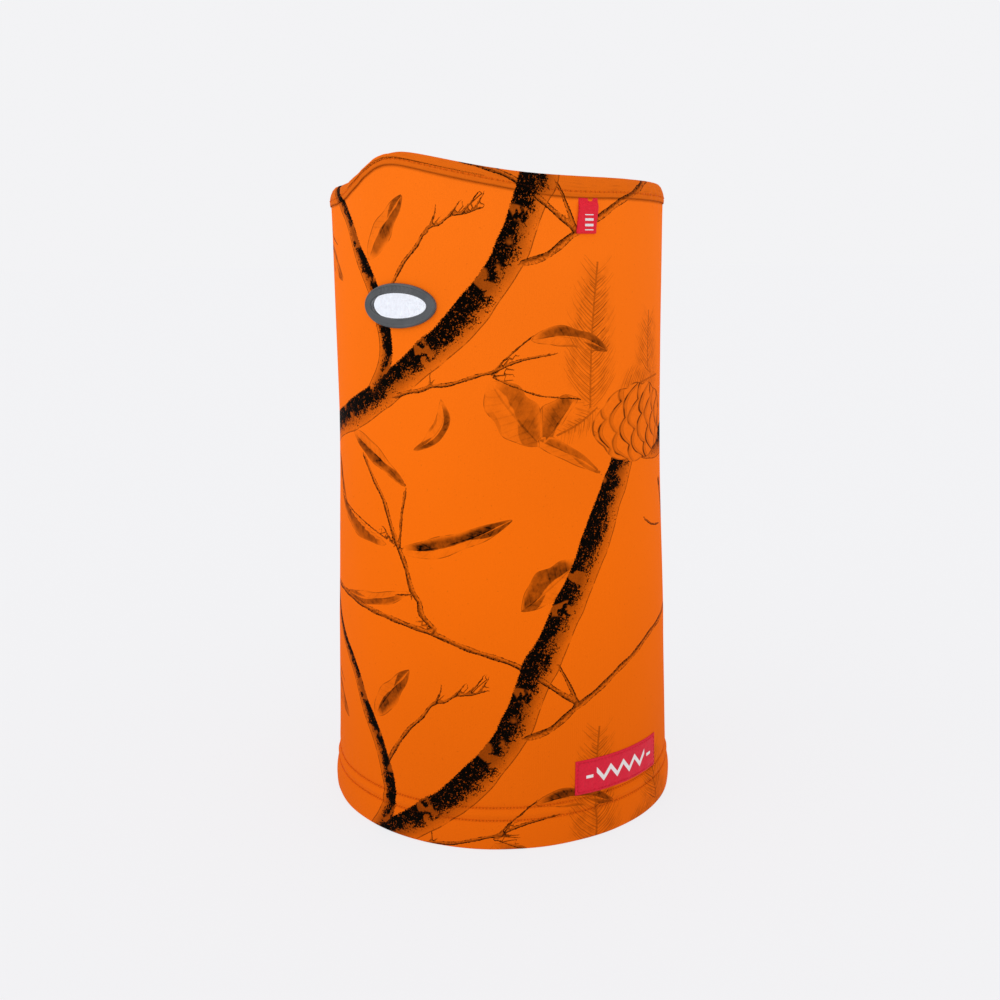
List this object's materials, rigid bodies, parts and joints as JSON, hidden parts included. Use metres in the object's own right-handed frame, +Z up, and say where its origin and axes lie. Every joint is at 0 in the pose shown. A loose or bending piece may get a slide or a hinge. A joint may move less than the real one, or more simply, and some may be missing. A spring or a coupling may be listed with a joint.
{
  "type": "neck tube",
  "caption": "Sewn fabric neck and face tube with a nose peak, bound top edge, coverstitched hem and an oval breathing ring at the mouth.",
  "frame": {"origin": "centre of the hem circle, on the surface that the tube stands on", "axes": "+Z up through the neck passage, -Y towards the nose peak and the breathing ring, +X towards the wearer's left, where both outside labels are"},
  "size_m": [0.1676, 0.1676, 0.2991],
  "materials": {
    "printed_knit": "matte brushed knit with a woodland print",
    "hem_knit": "unprinted brushed reverse of the knit",
    "binding_knit": "matte printed binding strip",
    "ring_rubber": "satin moulded rubber",
    "flag_weave": "fine woven label",
    "hem_label_weave": "fine woven label",
    "label_thread": "polyester sewing thread",
    "needle_thread": "polyester sewing thread",
    "looper_thread": "textured polyester thread",
    "satin": "white satin tape"
  },
  "bodies": {
    "tube": {"tube_shell": "printed_knit", "hem_turn_up": "hem_knit", "top_binding": "binding_knit", "breathing_ring_front": "ring_rubber", "breathing_ring_back": "ring_rubber", "flag_label_tail": "flag_weave", "hem_label": "hem_label_weave", "hem_label_stitch": "label_thread", "hem_stitch_upper": "needle_thread", "hem_stitch_lower": "needle_thread", "hem_looper_thread": "looper_thread", "binding_stitch": "needle_thread", "binding_looper_thread": "looper_thread", "binding_back_tack": "needle_thread", "back_seam_outer": "needle_thread", "back_seam_inner": "looper_thread", "care_label_tail": "satin"},
    "flag_label": {"flag_label": "flag_weave"},
    "care_label": {"care_label": "satin"}
  },
  "joints": [
    {"name": "flag_label_flip", "type": "hinge", "parent": "tube", "child": "flag_label", "pos_m": [0.06814, -0.03532, 0.2775], "axis": [-0.4602, -0.8878, 0], "range_deg": [0, 130]},
    {"name": "care_label_flip", "type": "hinge", "parent": "tube", "child": "care_label", "pos_m": [0, 0.07333, 0.2763], "axis": [-1, 0, 0], "range_deg": [0, 150]}
  ]
}
